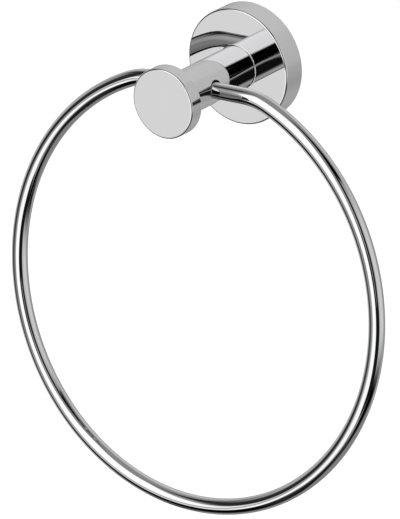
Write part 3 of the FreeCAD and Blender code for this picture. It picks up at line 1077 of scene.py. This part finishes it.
@dataclass(frozen=True)
class Studio:
    """A pale floor and what the chrome mirrors: soft boxes with black flags between them."""

    wall_level: float = 0.63
    light_level: float = 1.0
    floor_drop: float = 0.52
    floor_half: float = 6.0
    floor_steps: int = 8
    floor_colour: str = "#F4F4F4"
    floor_lift: float = 0.2
    cards: Tuple[Card, ...] = (
        # Ceiling and lower walls
        Card(0, 90, 400, 53, 0.35, 16),
        Card(0, -90, 400, 47, 0.31, 2),
        # Pale wall behind the flange, and a darker one below it
        Card(-11, 37.5, 43, 15, 0.75, 12, -0.03),
        Card(4, -16.5, 70, 23.5, 0.38, 16, 0.17),
        # Dark floor in front of the object, and to its right
        Card(-159, -82, 55, 38.5, 0.015, 5, 0.02),
        Card(92.5, -41, 52, 15, 0.0, 7, -0.31),
        # Bright board to the left
        Card(-75, -23.5, 24, 7.2, 1.0, 2, 0.35),
        # Dark corner left of the key light
        Card(-132, -29, 32, 59, 0.03, 11, 1.5),
        # Dark boards right of it
        Card(118.5, 25.5, 15, 33.5, 0.0, 8.5, -1.03),
        Card(146, 1, 8.4, 25, 0.0, 2, 1.5),
        Card(139.5, -20, 31, 19, 0.01, 3),
        Card(86.5, 64, 27, 16.5, 0.0, 2, 0.16),
        # Fill light to the right
        Card(71, 3, 31, 30.5, 0.87, 16, 0.12),
        # Thin dark board low on the left, and a soft dark one high up
        Card(-72, -51, 18, 3.2, 0.0, 2, 0.35),
        Card(-94.5, 44, 20.5, 12.5, 0.0, 16, -0.72),
        # Key light from the room
        Card(-171.5, 16.5, 33, 47.5, 1.5, 4, -0.09),
        Card(180, -24.5, 19, 10.6, 1.42, 2),
        # Its lower left corner cut away, and a dark bar across its left side
        Card(-137.5, -44.5, 15, 24.5, 0.0, 5.5, 1.22),
        Card(-138.5, -12, 24, 5.7, 0.14, 8, -0.28),
        # Grey board in front of that corner, which both flat faces mirror
        Card(-143, -19, 4, 7, 0.98, 2.3, 0.07),
    )

    def painted(self, tree: Tree, direction: Socket) -> Socket:
        """Adds nodes that give the level in a direction: each card covers what was there before."""
        parts = add_node(tree, "ShaderNodeSeparateXYZ", {0: direction}).outputs
        azimuth = math_node(tree, "ARCTAN2", parts["X"], parts["Y"])
        elevation = math_node(tree, "ARCSINE", parts["Z"])
        seen = self.wall_level
        for card in self.cards:
            far_right = math.radians(card.azimuth + HALF_TURN_DEGREES)
            far_left = math.radians(card.azimuth - HALF_TURN_DEGREES)
            aside = math_node(tree, "WRAP", azimuth, far_right, far_left)
            level_line = math_node(tree, "MULTIPLY_ADD", aside, -card.lean, elevation)
            middle = card.elevation - card.lean * card.azimuth
            across = self.cover(tree, aside, card.azimuth, card.half_width, card.softness)
            along = self.cover(tree, level_line, middle, card.half_height, card.softness)
            both = math_node(tree, "MULTIPLY", across, along)
            mixed = add_node(tree, "ShaderNodeMix", {0: both, 2: seen, 3: card.level}, data_type="FLOAT")
            seen = mixed.outputs[0]
        return seen

    def cover(self, tree: Tree, angle: Socket, middle: float, half: float, softness: float) -> Socket:
        """Adds nodes for a soft step: 1 within half the card's size of its middle, 0 outside."""
        off = math_node(tree, "SUBTRACT", angle, math.radians(middle))
        step = add_node(tree, "ShaderNodeMapRange", {
            "Value": math_node(tree, "ABSOLUTE", off), "From Min": math.radians(half - softness),
            "From Max": math.radians(half + softness), "To Min": 1.0, "To Max": 0.0,
        }, interpolation_type="SMOOTHSTEP")
        return step.outputs["Result"]

    def world(self) -> bpy.types.World:
        """Makes the surroundings: the cards for mirrored rays, white for the camera and soft light."""
        world = bpy.data.worlds.new("studio")
        tree = cleared_tree(world)
        seen = self.painted(tree, add_node(tree, "ShaderNodeTexCoord").outputs["Generated"])
        mirrored = add_node(tree, "ShaderNodeLightPath").outputs["Is Glossy Ray"]
        plain, cards = (
            add_node(tree, "ShaderNodeBackground", {"Color": WHITE, "Strength": level}).outputs[0]
            for level in (self.light_level, seen)
        )
        mixed = add_node(tree, "ShaderNodeMixShader", {0: mirrored, 1: plain, 2: cards})
        add_node(tree, "ShaderNodeOutputWorld", {"Surface": mixed.outputs[0]})
        bpy.context.scene.world = world
        return world

    def floor(self) -> bpy.types.Object:
        """Makes the pale floor below the ring, which shows white to the camera and keeps the shadow."""
        across = even(-self.floor_half, self.floor_half, self.floor_steps)
        right, deep = np.meshgrid(across, across, indexing="ij")
        points = stacked(right, deep, 0 * right - self.floor_drop).reshape(-1, 3)
        mesh = bpy.data.meshes.new("floor")
        mesh.from_pydata(points.tolist(), [], face_grid(len(across), len(across)).tolist())
        mesh.materials.append(self.floor_paint())
        floor = bpy.data.objects.new("floor", mesh)
        bpy.context.scene.collection.objects.link(floor)
        floor.visible_glossy = False
        return floor

    def floor_paint(self) -> bpy.types.Material:
        """Matt white paint, lifted to plain white where the camera sees it."""
        paint = bpy.data.materials.new("matt_white_paint")
        tree = cleared_tree(paint)
        matt = add_node(tree, "ShaderNodeBsdfDiffuse", {"Color": linear(self.floor_colour)})
        to_camera = add_node(tree, "ShaderNodeLightPath").outputs["Is Camera Ray"]
        share = math_node(tree, "MULTIPLY", to_camera, self.floor_lift)
        lift = add_node(tree, "ShaderNodeEmission", {"Color": WHITE, "Strength": share})
        both = add_node(tree, "ShaderNodeAddShader", {0: matt.outputs[0], 1: lift.outputs[0]})
        add_node(tree, "ShaderNodeOutputMaterial", {"Surface": both.outputs[0]})
        return paint


def shapes() -> Sequence[Tuple[str, Slot, List[Skin]]]:
    """Gives each CAD node that is dressed, with its material slot and its patches."""
    # The clamp screw's point bears on the ring's wire, and the grub screw's on the plate's bevel
    clamp_screw = SetScrew(
        back=28.3591, length=8.0, radius=3.0, point_radius=2.0, key=3.0, key_depth=3.5, pitch=1.0
    )
    grub_screw = SetScrew(
        back=0.0, length=4.0, radius=2.5, point_radius=0.6, key=2.5, key_depth=1.6, pitch=0.8
    )
    return (
        ("flange_cover", Slot.CHROME, FlangeCover().skins()),
        ("post", Slot.CHROME, Post().skins()),
        ("towel_ring", Slot.CHROME, TowelRing().skins()),
        ("wall_plate", Slot.ZINC, WallPlate().skins()),
        ("post_lock_washer", Slot.ZINC, LockWasher().skins()),
        ("post_screw", Slot.SCREW, CapScrew().skins()),
        ("ring_clamp_screw", Slot.SCREW, clamp_screw.skins()),
        ("flange_grub_screw", Slot.SCREW, grub_screw.stood_up(depth=3.2, base=-26.0852)),
    )


def main() -> None:
    """Builds the pieces, the studio and the camera, and hands them to the frame."""
    logging.basicConfig(level=logging.INFO, format="%(name)s: %(message)s")
    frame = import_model()
    log.info("the frame has %d nodes", len(frame["nodes"]))
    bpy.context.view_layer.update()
    finishes = {slot: finish.material() for slot, finish in FINISHES.items()}
    for node, slot, skins in shapes():
        Piece(node, slot, finishes[slot]).show(skins)
    studio = Studio()
    studio.world()
    studio.floor()
    bpy.context.scene.view_settings.view_transform = "Standard"
    ViewFrame().camera()


if __name__ == "__main__":
    main()
